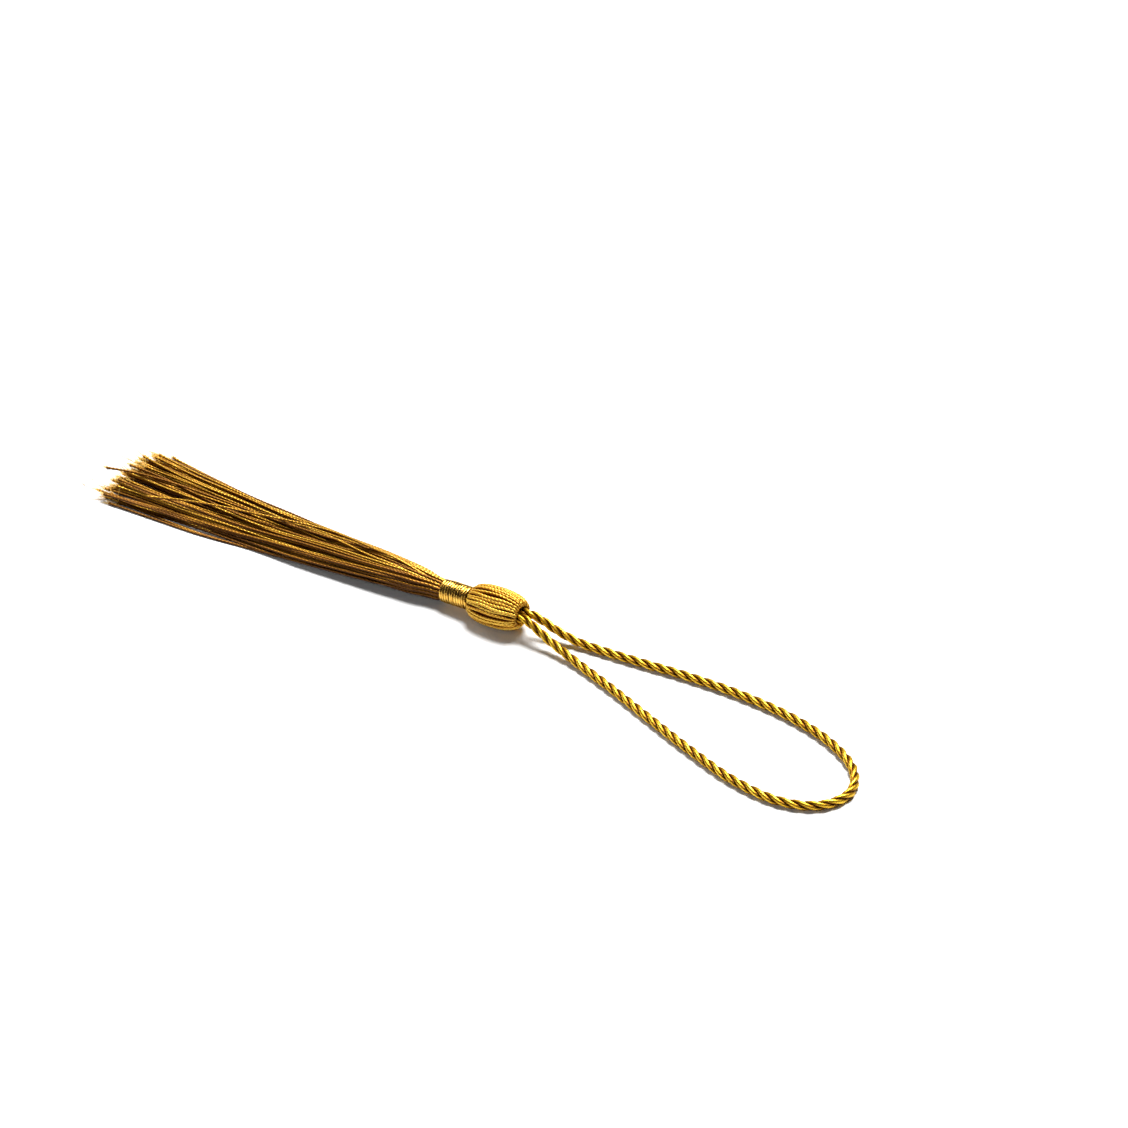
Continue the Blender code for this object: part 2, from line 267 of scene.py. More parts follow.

# %% [markdown]
# ## The hanging loop
#
# The loop is one length of cord, made of three plies with a right-hand twist. Both ends go into the hole
# in the head. A limp cord like this could be dropped on the table with a simulation, but the loop in a
# product picture is laid out by hand, so its route is a short list of given points: out of the
# head, down to the table within a few centimetres, and round in one loose drop shape.
#
# A Catmull-Rom curve runs through the points. Each ply is then a tube that circles round the curve, and
# each ply is itself a bundle of finer strands twisted the other way, as in every laid rope.

# %% The cord's line
CORD_RADIUS = 1.13
CORD_LEAD = 10.1
CORD_REST = 1.2
LEG_SIDE = 1.3
CORD_END = 10.9
HEAD_TOP = 14.5
CordPoint = namedtuple("CordPoint", "x y z", defaults=[CORD_REST])  # without a z it rests on the table
CORD_ROUTE = (
    CordPoint(13.0, 1.75, 4.45),
    CordPoint(17.5, 2.10, 2.75),
    CordPoint(24.0, 2.70, 1.40),
    CordPoint(38.0, 4.20),
    CordPoint(51.0, 5.80),
    CordPoint(65.0, 6.60),
    CordPoint(79.0, 5.80),
    CordPoint(92.0, 2.60),
    CordPoint(101.5, -3.20),
    CordPoint(105.0, -11.00),
    CordPoint(101.5, -18.60),
    CordPoint(92.5, -22.40),
    CordPoint(80.0, -21.60),
    CordPoint(66.0, -17.60),
    CordPoint(52.0, -12.80),
    CordPoint(39.0, -8.20),
    CordPoint(27.0, -4.50, 1.40),
    CordPoint(18.5, -2.60, 2.75),
    CordPoint(13.2, -1.80, 4.45),
)


def smooth_curve(knots, between):
    """A Catmull-Rom curve. Between two knots it is a cubic whose direction at each knot is half the step
    between the knots before and after it."""
    knots = np.concatenate([2 * knots[:1] - knots[1:2], knots, 2 * knots[-1:] - knots[-2:-1]])
    before, start, end, after = (knots[shift : len(knots) - 3 + shift, None] for shift in range(4))
    t = np.linspace(0.0, 1.0, between, endpoint=False)[None, :, None]
    curve = start + (end - before) * t / 2
    curve = curve + (2 * before - 5 * start + 4 * end - after) * t**2 / 2
    curve = curve + (3 * start - before - 3 * end + after) * t**3 / 2
    return np.concatenate([curve.reshape(-1, knots.shape[1]), knots[-2:-1]])


def in_even_steps(curve, step):
    """The same curve with points a fixed distance apart, and each point's distance from the start."""
    along = np.append(0.0, np.cumsum(np.linalg.norm(np.diff(curve, axis=0), axis=1)))
    even = np.linspace(0.0, along[-1], round(along[-1] / step) + 1)
    return np.stack([np.interp(even, along, axis) for axis in curve.T], axis=1), even


inside_head = np.array([CORD_END, 12.5, HEAD_TOP, HEAD_TOP + 2.0])
cord_knots = np.concatenate(
    [on_axis(inside_head, LEG_SIDE, 0.0), np.array(CORD_ROUTE), on_axis(inside_head[::-1], -LEG_SIDE, 0.0)]
)
cord_line, cord_along = in_even_steps(smooth_curve(cord_knots, between=24), step=0.28)

# %% The cord's plies
PLIES = 3
PLY_RADIUS = 0.54
PLY_CIRCLE = CORD_RADIUS - PLY_RADIUS
PLY_STRANDS = 5
PLY_STRAND_LEAD = 4.6
PLY_STRAND_RELIEF = 0.10
PLY_POINTS = 20
PAINTED_SHADE_WITHIN = 0.50  # this near to the cord's middle line the painted shade is darkest
PAINTED_SHADE_POWER = 2.4  # a power: the higher, the more of the groove is painted dark
STRAND_PAINTED_SHADE = 0.28  # how much darker the cord is painted between a ply's own strands

tubes = []
for ply in range(PLIES):
    # The middle of a ply circles the cord's line once for each lead
    turn = 2 * math.pi * ((ply + 0.5) / PLIES + cord_along / CORD_LEAD)
    beside = PLY_CIRCLE * np.cos(turn)[:, None]
    above = PLY_CIRCLE * np.sin(turn)[:, None]
    ply_line = carried(cord_line, UP, beside, above)[:, 0]
    # Its own strands are ripples on a circle, which turn the other way
    around = np.arange(PLY_POINTS) * 2 * math.pi / PLY_POINTS
    ripple = np.cos(PLY_STRANDS * (around + 2 * math.pi * cord_along[:, None] / PLY_STRAND_LEAD) + ply)
    radius = PLY_RADIUS * (1 + PLY_STRAND_RELIEF * ripple)
    grid = carried(ply_line, UP, radius * np.cos(around), radius * np.sin(around))
    # Painted shade: the nearer a point lies to the cord's own middle line, the darker it is painted
    off_middle = np.linalg.norm(grid - cord_line[:, None], axis=-1)
    out_of_groove = np.clip((off_middle - PAINTED_SHADE_WITHIN) / (CORD_RADIUS - PAINTED_SHADE_WITHIN), 0.0, 1.0)
    crest = out_of_groove**PAINTED_SHADE_POWER * (1 - STRAND_PAINTED_SHADE + STRAND_PAINTED_SHADE * ripple)
    tubes.append(Tube(grid, cord_along, crest))
cord = thread_mesh("loop_cord", tubes)
tuple(on_axis(HEAD_TOP, 0.0, 0.0) * MM)
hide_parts("hanging_loop")
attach(cord, "root")

# %% [markdown]
# ## The skirt
#
# The free yarns leave the neck as a tight round bundle and end as a low, wide heap. They could be
# simulated as hair, but a hundred stiffish yarns that all touch are slow to settle and never quite lie
# still. Here each yarn follows a rule instead, the same one that the solid model uses:
#
# - its root has a fixed place in a close-packed round bundle,
# - two rows of roots make one layer of the heap, and the layers sink onto each other,
# - within a layer the yarns spread apart evenly, and then draw together into locks as far as there is room,
# - a yarn that reaches further aside than the layers below it droops to the table,
# - a few strays climb over the heap, bend across it and curl at the end.
#
# The spacing is worked out first and the locks only use up the room that is left, so the lines of a layer
# keep clear of each other. The next step loosens them, so that they touch and cross here and there.

# %% Where each yarn of the skirt starts and how it lies
YARN_RADIUS = 0.30
ROOT_YARN_RADIUS = 0.17
ROOT_SPACING = 0.50
ROOT_BUNDLE_RADIUS = 2.74
ROOT_ROWS = 12
SKIRT_LENGTH = 95.0
LENGTH_SPREAD = 1.3
TIGHT_SPACING = 0.26
LOOSE_SPACING = 1.10
LEAST_GAP = 0.07
BULGE = 1.3
SPREAD_BY = 6.0
BULGED_BY = 9.0
SWOLLEN_BY = 40.0
SETTLED_BY = 60.0
LAYER_PITCH = 0.67
LAYER_SPREAD = (1.32, 1.12, 1.00, 0.94, 0.90, 0.86)
LAYER_COUNTS = (13, 19, 22, 22, 19, 13)
SPREAD_POWER = 0.72
EDGE = 1.6
SKIRT_SEED = 11
# Waves across a layer that draw its yarns into locks: how much of the room they take, how many places long
# they are, and how they move from layer to layer and with each millimetre along the skirt
LockWave = namedtuple("LockWave", "share places by_layer by_distance")
LOCK_WAVES = (LockWave(0.27, 4.3, 1.9, 0.014), LockWave(0.28, 7.1, 0.8, -0.020))
OWN_WAVE = 0.17
OWN_WAVE_TURNS = 0.06
SWAY = 0.9
SWAY_TURNS = 0.03
SWAY_BY_LAYER = 2.1
SWAY_RAMP = (15.0, 60.0)  # where a change begins, and how far it takes
Strand = namedtuple("Strand", "root_side root_height layer place length wander")
Stray = namedtuple("Stray", "strand layer side_at_middle side_at_end length curl")
STRAYS = (
    Stray(3, 6.2, 1.5, 5.0, 96.0, 1.2),
    Stray(6, 7.4, 1.0, -8.5, 84.0, -0.8),
    Stray(9, 6.2, -0.5, -2.5, 101.0, -2.8),
)
CROSSES_RAMP = (14.0, 22.0)
CLIMBS_RAMP = (3.0, 13.0)
CURL_LENGTH = 26.0
CURL_SINKS = 0.3


def root_rows():
    """Rows of evenly staggered roots inside the round bundle, lowest row first."""
    rows = []
    for row in range(ROOT_ROWS):
        height = (row - (ROOT_ROWS - 1) / 2) * ROOT_SPACING * math.sqrt(0.75)
        chord = math.sqrt(ROOT_BUNDLE_RADIUS**2 - height**2)
        stagger = ROOT_SPACING / 4 * (1 if row % 2 else -1)
        reach = int(chord / ROOT_SPACING) + 1
        sides = [step * ROOT_SPACING + stagger for step in range(-reach, reach + 1)]
        rows.append([(side, height) for side in sides if abs(side) <= chord])
    return rows


def skirt_layers():
    """The yarns, layer by layer, two rows of roots to a layer. Places in a layer count from its middle."""
    random = np.random.default_rng(SKIRT_SEED)
    rows = root_rows()
    layers = []
    for layer in range(ROOT_ROWS // 2):
        roots = sorted(rows[2 * layer] + rows[2 * layer + 1])
        strands = []
        for rank, (side, height) in enumerate(roots):
            place = rank - (len(roots) - 1) / 2
            length = SKIRT_LENGTH + LENGTH_SPREAD * random.standard_normal()
            strands.append(Strand(side, height, layer, place, length, random.uniform(0.0, 2 * math.pi)))
        layers.append(strands)
    return layers


def layer_spacing(layer, free):
    """The distance between the yarns of a layer. It grows from TIGHT_SPACING at the neck to LOOSE_SPACING
    at the cut, as the way along the skirt to the power SPREAD_POWER, and the layer's own width sets in by
    SETTLED_BY."""
    spacing = TIGHT_SPACING + (LOOSE_SPACING - TIGHT_SPACING) * (free / SKIRT_LENGTH) ** SPREAD_POWER
    return spacing * (1 + (LAYER_SPREAD[layer] - 1) * smooth_step(free / SETTLED_BY))


def layers_reaching(which, free, side):
    """How many of these layers reach as far to the side as this place. Each counts fully inside its own
    half-width and not at all outside it, with a smooth change over EDGE between."""
    number = 0.0 * free
    for layer in which:
        half_width = layer_spacing(layer, free) * (LAYER_COUNTS[layer] - 1) / 2
        number = number + smooth_step((half_width - np.abs(side)) / EDGE + 0.5)
    return number


def strand_path(strand, reach):
    """A yarn's middle line at distances from the neck. Its side is its place times the layer's spacing,
    plus a shift made of slow sine waves that are scaled by the room left between neighbours. Its height
    sinks from the root's to that of the layers which carry it there. Before the neck, where reach is
    negative, it runs straight back under the binding."""
    layer, place = strand.layer, strand.place
    free = np.maximum(reach, 0.0)
    settled = smooth_step(free / SETTLED_BY)
    radius = ROOT_YARN_RADIUS + (YARN_RADIUS - ROOT_YARN_RADIUS) * smooth_step(free / SWOLLEN_BY)
    spacing = layer_spacing(layer, free)
    room = np.maximum(0.0, 1 - (2 * radius + LEAST_GAP) / spacing)
    shift = OWN_WAVE * np.sin(OWN_WAVE_TURNS * free + strand.wander)
    for wave in LOCK_WAVES:
        turned = 2 * math.pi * place / wave.places + wave.by_layer * layer + wave.by_distance * free
        shift += wave.share * np.sin(turned)
    sway = SWAY * (np.sin(SWAY_TURNS * free + SWAY_BY_LAYER * layer) - math.sin(SWAY_BY_LAYER * layer))
    bulge = 1 + (BULGE - 1) * smooth_step(free / BULGED_BY)
    spread = smooth_step(free / SPREAD_BY)
    side = (1 - spread) * strand.root_side * bulge + spread * spacing * (place + room * shift)
    side += sway * ramp(free, *SWAY_RAMP)
    x, _, z = on_axis(SKIRT_STATION, 0.0, 0.0)
    resting = YARN_RADIUS + LAYER_PITCH * layers_reaching(range(layer), free, side)
    height = (1 - settled) * (z + strand.root_height * bulge) + settled * resting
    return np.stack([x - reach, side, height], axis=-1)


def stray_path(strand, stray, reach):
    """A stray's middle line: its strand's own line near the neck, and further out a parabola across the
    skirt, lifted over the layers. Its free end curls aside and sinks, by the square of the way along the
    last CURL_LENGTH."""
    x, side, height = strand_path(strand, reach).T
    along = np.maximum(reach, 0.0) / stray.length
    bend = 4 * along * (1 - along) * stray.side_at_middle + along * (2 * along - 1) * stray.side_at_end
    crossing = ramp(reach, *CROSSES_RAMP)
    climbed = ramp(reach, *CLIMBS_RAMP)
    rise = (stray.layer - strand.layer) * LAYER_PITCH * climbed
    curl = stray.curl * np.clip((reach - stray.length + CURL_LENGTH) / CURL_LENGTH, 0.0, 1.0) ** 2
    side = side + crossing * (bend - side) + curl
    return np.stack([x, side, height + rise - CURL_SINKS * np.abs(curl)], axis=-1)


layers = skirt_layers()
print("yarns in each layer:", [len(strands) for strands in layers])

# %% [markdown]
# ## Yarn for the skirt
#
# Each yarn is two plies with a short, steep twist, which gives the fine beaded look of silk cord. Under
# the binding it is squeezed, and it swells as soon as it is free. Near the cut the twist opens.
#
# Where the bundle leaves the neck, every second yarn of its outer ring lies on top and the rest sink
# between them. Further out each yarn wanders a little to the sides and rides up over its neighbours, so
# that they cross here and there and leave dark gaps. Near the cut they gather into locks and bend their
# own ways. Neighbours and higher layers hide a yarn's lower half from the light, so shade is painted
# there and the painted light value falls. It is also painted lower in the grooves and on each yarn's
# underside.

# %% Yarns of the skirt
YARN_LEAD = 2.1
YARN_STEPS = 5  # rings for each turn of the plies
FREE_RADIUS = 0.34
BOUND_RADIUS = 0.29
PLY_PRESSED = 0.45  # the plies are pressed together, so a groove is shallower than between free round ones
FREE_BY = 8.0
UNDER_BINDING = 2.0
SQUEEZE = 0.20
OUTER_RING = ROOT_BUNDLE_RADIUS - 0.52
ON_TOP_RADIUS = 0.42
SUNK = 0.16
STILL_SQUEEZED = 0.6  # the part of a top yarn's extra radius that it loses under the binding
SORTED_OUT_BY = 16.0
WANDER_ASIDE = 0.30
WANDER_UP = 0.22
ASIDE_WAVES = (5.5, 11.0)  # a wave's length, divided by a full turn
UP_WAVES = (7.0, 14.0)
WANDER_RAMP = (4.0, 40.0)
FRAYED_FROM = 88.0  # a short stray ends inside the heap, and stays blunt
LOCK_WIDTH = 2.5
LOCK_PULL = 0.45
LOCK_STAGGER = 0.37  # from one layer to the next, in lock widths
LOCKS_RAMP = (12.0, 50.0)
LOOSE_RAMP = (66.0, 28.0)
END_ASIDE = 0.45
END_UP = 0.45
TOP_CLIMB = 0.55
TOP_CROSSING = 1.1
TOP_CROSSING_RAMP = (12.0, 80.0)
RAGGED = 1.2
OPENS_OVER = 3.5
OPENS_BY = 0.30
# Painted shadow: the share of the painted light that is left under each covering layer
LIGHT_THROUGH_LAYER = 0.84
RINGS_OF_AN_END = 8
# How shade is painted on a yarn: in its grooves, on its underside, and where its lit side begins
Shading = namedtuple("Shading", "groove underside lit_from lit_over")
SKIRT_SHADING = Shading(groove=0.84, underside=0.04, lit_from=-0.15, lit_over=1.05)


def painted_light_round_yarn(angle, height, shading):
    """The painted light value round a plied yarn, with painted shade in the grooves and on the underside.
    It grows with the height from groove to 1, and is multiplied by a value that grows from underside to 1
    while the sine of the angle rises from lit_from by lit_over."""
    lit_side = ramp(np.sin(angle), shading.lit_from, shading.lit_over)
    lit_side = shading.underside + (1 - shading.underside) * lit_side
    return (shading.groove + (1 - shading.groove) * height) * lit_side


def on_top_roots():
    """Every second root of the bundle's outer ring, in order of the angle round it."""
    ring = [(s.root_side, s.root_height) for layer in layers for s in layer]
    ring = [root for root in ring if math.hypot(*root) > OUTER_RING]
    ring.sort(key=lambda root: math.atan2(root[1], root[0]))
    return set(ring[::2])


def drawn_together(reach, end_side, layer):
    """The shift of a yarn towards the middle of its lock, which grows along the skirt. Locks are
    LOCK_WIDTH wide at the cut end, and a yarn goes LOCK_PULL of its way to the middle of the nearest
    one."""
    stagger = LOCK_STAGGER * layer
    middle = (math.floor(end_side / LOCK_WIDTH + stagger) + 0.5 - stagger) * LOCK_WIDTH
    return LOCK_PULL * (middle - end_side) * ramp(reach, *LOCKS_RAMP)


def two_waves(reach, lengths, phases):
    """A short sine wave of half height plus a longer one of full height."""
    return np.sin(reach / lengths[0] + phases[0]) / 2 + np.sin(reach / lengths[1] + phases[1])


def wandering(random, reach, is_top):
    """A yarn's own slow waves, to the side and upwards. They grow over the first centimetres, and over
    the last ones the yarn bends its own way. Yarns of the top layer also climb and drift across their
    neighbours."""
    grown = ramp(reach, *WANDER_RAMP)
    phases = random.uniform(0.0, 2 * math.pi, 4)
    aside = WANDER_ASIDE * two_waves(reach, ASIDE_WAVES, phases[:2]) * grown
    up = WANDER_UP * two_waves(reach, UP_WAVES, phases[2:]) * grown
    loose = ramp(reach, *LOOSE_RAMP)
    aside = aside + END_ASIDE * random.normal() * loose
    up = up + END_UP * random.uniform(-1.0, 1.0) * loose
    if is_top:
        up = up + TOP_CLIMB * random.uniform(0.0, 1.0) * grown
        crossed = ramp(reach, *TOP_CROSSING_RAMP)
        aside = aside + TOP_CROSSING * random.normal() * crossed
    return aside, up


def skirt_yarn(random, line, reach, length, on_top, layer, is_top):
    """One two-ply yarn along its line. The section turns once for each lead. Its radius grows from the
    bound to the free radius, and once more over the last millimetres. The painted light value is also
    multiplied by LIGHT_THROUGH_LAYER once for each layer that covers the yarn, as a painted shadow."""
    bound = smooth_step(-reach / UNDER_BINDING)[:, None]
    near_neck = (1 - smooth_step(reach / SORTED_OUT_BY))[:, None]
    middle = on_axis(SKIRT_STATION - np.minimum(reach, 0.0), 0.0, 0.0)
    pull = SQUEEZE * bound + (0.0 if on_top else SUNK) * near_neck
    line = line + pull * (middle - line) * (0.0, 1.0, 1.0)
    aside, up = wandering(random, reach, is_top)
    line = line + np.stack([0 * reach, aside + drawn_together(reach, line[-1, 1], layer), up], axis=-1)
    neck_radius = ON_TOP_RADIUS if on_top else BOUND_RADIUS
    radius = BOUND_RADIUS + (FREE_RADIUS - BOUND_RADIUS) * smooth_step(reach / FREE_BY)
    radius = radius + (neck_radius - BOUND_RADIUS) * near_neck[:, 0] * (1 - STILL_SQUEEZED * bound[:, 0])
    radius = radius * (1 + OPENS_BY * smooth_step((reach - length + OPENS_OVER) / OPENS_OVER))
    line[:, 2] = np.maximum(line[:, 2], radius)
    angle, outline, height = two_ply
    angle = angle + random.uniform(0.0, 2 * math.pi) + 2 * math.pi * reach[:, None] / YARN_LEAD
    around = radius[:, None] * (PLY_PRESSED + (1 - PLY_PRESSED) * outline)
    grid = carried(line, UP, around * np.cos(angle), around * np.sin(angle))
    grid[..., 2] = np.maximum(grid[..., 2], 0.0)
    # Painted shadow from every layer that covers the yarn
    covered = layers_reaching(range(layer + 1, len(layers)), np.maximum(reach, 0.0), line[:, 1])[:, None]
    open_to_light = LIGHT_THROUGH_LAYER ** (covered * (1 - near_neck))
    return Tube(grid, reach, open_to_light * painted_light_round_yarn(angle, height, SKIRT_SHADING))


random = np.random.default_rng(31)
roots_on_top = on_top_roots()
yarn_ends = []
skirt_pieces = []
for number, strands in enumerate(layers, start=1):
    is_top = number == len(layers)
    strays = {stray.strand: stray for stray in STRAYS if is_top}
    tubes = []
    for rank, strand in enumerate(strands):
        stray = strays.get(rank)
        length = (stray or strand).length + (0.0 if stray else RAGGED * random.normal())
        reach = np.arange(-UNDER_BINDING, length, YARN_LEAD / YARN_STEPS)
        line = stray_path(strand, stray, reach) if stray else strand_path(strand, reach)
        on_top = (strand.root_side, strand.root_height) in roots_on_top
        tube = skirt_yarn(random, line, reach, length, on_top, strand.layer, is_top)
        tubes.append(tube)
        if length > FRAYED_FROM:
            end = tube.grid[-1].mean(axis=0)
            yarn_ends.append((end, unit(end - tube.grid[-RINGS_OF_AN_END].mean(axis=0))))
    skirt_pieces.append(thread_mesh(f"skirt_layer_{number}", tubes))
print(len(roots_on_top), "yarns lie on top where the bundle leaves the neck")

# %% [markdown]
# ## Frayed ends
#
# Where yarn is cut, its plies untwist and single filaments spring out of it, so that each end is a small
# brush. The parts of a brush are far thinner than anything else here, so each one is a three-sided hair
# with only a few faces. Each hair has its own lean and length, drawn at random but the same on every
# run. Here and there a whole ply has come loose and reaches out past the others.

# %% Frayed filaments at the cut
Fray = namedtuple("Fray", "every count radius shortest longest lean rings brighter")
FRAYS = (
    Fray(1, 8, 0.085, 1.2, 2.8, 0.18, 5, 0.60),  # untwisted plies
    Fray(1, 12, 0.045, 1.2, 3.4, 0.36, 5, 0.60),  # single filaments
    Fray(7, 1, 0.100, 6.0, 14.0, 0.24, 12, 0.05),  # a ply that has come loose, on every seventh yarn
)
FRAY_START = 1.0  # before the yarn's end
FRAY_SPREAD = 0.26
ALONG_SHARE = (0.2, 1.0, 1.0)  # the spread is mostly across the yarn, which runs along x
HAIR_SIDES = 3
HAIR_TAPER = 0.6
ROOT_PAINTED_LIGHT = 0.40

random = np.random.default_rng(5)
tubes = []
for number, (end, ahead) in enumerate(yarn_ends):
    for fray in FRAYS:
        for _ in range(0 if number % fray.every else fray.count):
            lean = random.normal(0.0, fray.lean, 3)
            hair_length = random.uniform(fray.shortest, fray.longest)
            aside = random.uniform(-FRAY_SPREAD, FRAY_SPREAD, 3) * ALONG_SHARE
            start = end - FRAY_START * ahead + aside
            t = np.linspace(0.0, 1.0, fray.rings)[:, None]
            line = start + hair_length * (t * ahead + t**2 * lean)
            line[:, 2] = np.maximum(line[:, 2], fray.radius)
            around = np.arange(HAIR_SIDES) * 2 * math.pi / HAIR_SIDES
            radius = fray.radius * (1 - HAIR_TAPER * t)
            grid = carried(line, UP, radius * np.cos(around), radius * np.sin(around))
            # Painted light along each hair: painted shade at its root, where it leaves the yarn, growing by
            # `brighter` towards its tip
            tubes.append(Tube(grid, t[:, 0] * hair_length, ROOT_PAINTED_LIGHT + fray.brighter * t))
frayed_ends = thread_mesh("frayed_ends", tubes)

# %% [markdown]
# ## The head
#
# The head's yarns come up out of the binding, swell over the bulb side by side, and turn in over the lip
# of the hole. Each one is a line over the bulb, found from a short table: how far along the axis, and how
# far out beside and above it. The hole is flatter than it is wide, because two legs of cord lie in it
# next to each other.
#
# Near the neck and at the lip there is less room, so the yarns get narrower there and every second one
# dives a little deeper. Small differences in height and spacing keep them from looking like a machined
# part.

# %% Lines of the head's yarns
HEAD_YARNS = 34
HeadPoint = namedtuple("HeadPoint", "station side height")
HEAD_LINE = (
    HeadPoint(-1.6, 2.15, 2.15),
    HeadPoint(-0.5, 2.20, 2.20),
    HeadPoint(0.05, 2.65, 2.65),
    HeadPoint(0.45, 3.30, 3.30),
    HeadPoint(1.3, 3.95, 3.95),
    HeadPoint(2.8, 4.40, 4.40),
    HeadPoint(4.8, 4.64, 4.64),
    HeadPoint(7.2, 4.68, 4.68),
    HeadPoint(9.6, 4.58, 4.58),
    HeadPoint(11.6, 4.26, 4.26),
    HeadPoint(13.1, 3.80, 3.76),
    HeadPoint(14.0, 3.38, 3.20),
    HeadPoint(14.25, 3.08, 2.80),
    HeadPoint(13.95, 2.90, 2.52),
    HeadPoint(12.9, 2.84, 2.38),
    HeadPoint(11.0, 2.80, 2.30),
)
HEAD_STEP = 0.30
Lump = namedtuple("Lump", "height waves phase")
LUMPS = (Lump(0.022, 2, -0.7), Lump(0.018, 3, 1.2))
LUMPS_RAMP = (0.6, 3.0)


def lumps(turn, station):
    """The head's slow unevenness: two cosine waves round it, which fade towards the neck."""
    waves = sum(lump.height * np.cos(lump.waves * turn + lump.phase) for lump in LUMPS)
    return waves * ramp(station, *LUMPS_RAMP)


def pressed(points, clearance):
    """Points kept above the table, where the soft head is flattened."""
    points[..., 2] = np.maximum(points[..., 2], clearance)
    return points


head_curve, head_along = in_even_steps(smooth_curve(np.array(HEAD_LINE), between=16), HEAD_STEP)
print(f"a yarn of the head is {head_along[-1]:.1f} mm long, {len(head_along)} rings")

# %% Yarns of the head
HEAD_YARN_LEAD = 1.9
HEAD_YARN_THICKNESS = 0.42
CROWDING = 0.97  # a yarn's width as a part of its share of the round
BELLY_RAMP = (2.6, 1.6)
# How far yarns lean towards each other, in shares of the step between two, and how many yarns a wave has
HeadLock = namedtuple("HeadLock", "share yarns phase")
HEAD_LOCKS = (HeadLock(0.15, 5.3, 0.0), HeadLock(0.12, 3.4, 1.0))
UNEVEN_PLACE = 0.07
# Waves along a yarn, in shares of the same step, and their length divided by a full turn
HeadWave = namedtuple("HeadWave", "share length")
HEAD_WAVES = (HeadWave(0.16, 2.6), HeadWave(0.08, 1.3))
DIVE = 0.20
BELLY_DIVE = (-0.14, 0.16)
LYING_SHARE = 0.9  # how much of its thickness keeps a yarn's middle off the table
UNEVEN_WIDTH = (0.94, 1.08)
UNEVEN_LEAD = (0.85, 1.25)
TWIST_WAVE = 0.5
TWIST_WAVE_LENGTH = 1.9
HEAD_PLY_PRESSED = 0.25
# Painted shade on the head's yarns: in their grooves and on their undersides
HEAD_SHADING = Shading(groove=0.58, underside=0.20, lit_from=-0.10, lit_over=0.90)

random = np.random.default_rng(23)
station, reach_side, reach_height = head_curve.T
girth = (reach_side + reach_height) / 2
belly = ramp(girth, *BELLY_RAMP)
step = 2 * math.pi / HEAD_YARNS
tubes = []
for number in range(HEAD_YARNS):
    lock = sum(row.share * math.sin(2 * math.pi * number / row.yarns + row.phase) for row in HEAD_LOCKS)
    turn = step * (number + belly * (lock + random.normal(0.0, UNEVEN_PLACE)))
    for wave in HEAD_WAVES:
        phase = random.uniform(0.0, 2 * math.pi)
        turn = turn + step * wave.share * np.sin(head_along / wave.length + phase) * belly
    dive = DIVE * (1 - belly) * (number % 2) + belly * random.uniform(*BELLY_DIVE)
    swell = 1 + lumps(turn, station) - dive / girth
    line = on_axis(station, reach_side * swell * np.cos(turn), reach_height * swell * np.sin(turn))
    line = pressed(line, HEAD_YARN_THICKNESS * LYING_SHARE)
    ahead = unit(np.gradient(line, axis=0))
    sideways = np.stack([0 * turn, -np.sin(turn), np.cos(turn)], axis=-1)
    outward = unit(np.cross(sideways, ahead))
    half_width = 0.5 * CROWDING * girth * step * random.uniform(*UNEVEN_WIDTH)
    angle, outline, height = two_ply
    lead = HEAD_YARN_LEAD * random.uniform(*UNEVEN_LEAD)
    uneven_twist = TWIST_WAVE * np.sin(head_along / TWIST_WAVE_LENGTH + random.uniform(0.0, 2 * math.pi))
    twist = random.uniform(0.0, 2 * math.pi) + 2 * math.pi * head_along / lead + uneven_twist
    angle = angle + twist[:, None]
    plump = HEAD_PLY_PRESSED + (1 - HEAD_PLY_PRESSED) * outline
    across = half_width[:, None] * plump * np.cos(angle)
    upright = HEAD_YARN_THICKNESS * plump * np.sin(angle)
    grid = pressed(carried(line, outward, across, upright), 0.0)
    tubes.append(Tube(grid, head_along, painted_light_round_yarn(angle, height, HEAD_SHADING)))
head_yarns = thread_mesh("head_yarns", tubes)

# %% [markdown]
# Behind the yarns lies the rest of the hank, which keeps light from passing through the head. A plain
# turned shape just below the yarns is enough, because only slivers of it show.

# %% Core of the head and neck
CORE_BELOW = 0.45
CORE_AROUND = 48
CORE_IN_NECK = (HeadPoint(-9.9, 2.2, 2.2), HeadPoint(-3.0, 1.95, 1.95))
MOUTH_ROWS = 4
BACK_IN_MOUTH = 0.35
core_rows = np.array([*CORE_IN_NECK, *HEAD_LINE[1:]])
core_rows[len(CORE_IN_NECK) :, 1:] -= CORE_BELOW
core_rows[-MOUTH_ROWS:, 1:] += 2 * CORE_BELOW  # here the core lies further out than the yarns
core_rows[-MOUTH_ROWS:, 0] -= BACK_IN_MOUTH
turn = np.arange(CORE_AROUND) * 2 * math.pi / CORE_AROUND
core_grid = on_axis(
    core_rows[:, :1],
    core_rows[:, 1:2] * (1 + lumps(turn, core_rows[:, :1])) * np.cos(turn),
    core_rows[:, 2:] * (1 + lumps(turn, core_rows[:, :1])) * np.sin(turn),
)
core_grid = pressed(core_grid, CORE_BELOW)
# Painted shade: the core's painted light is 0 everywhere, so it shows the head's shaded colour all over
all_dark = np.zeros((len(core_rows), CORE_AROUND))
head_core = thread_mesh("head_core", [Tube(core_grid, core_rows[:, 0], all_dark)])

for piece in [*skirt_pieces, frayed_ends, head_yarns, head_core]:
    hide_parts("head_and_skirt")
    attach(piece, "root")

# %% [markdown]
# ## The binding
#
# The neck is bound with one long glossy thread, wound turn against turn. It could be a ribbed cylinder,
# but each turn of a real winding rises, falls and rolls over a little, and this is what breaks its
# highlight into a jagged band. So the thread is a single helix: its angle grows evenly, its station moves
# nearly one thread width for each turn, and small random steps in height, place and roll make it uneven.
# Both ends dive under the other turns.

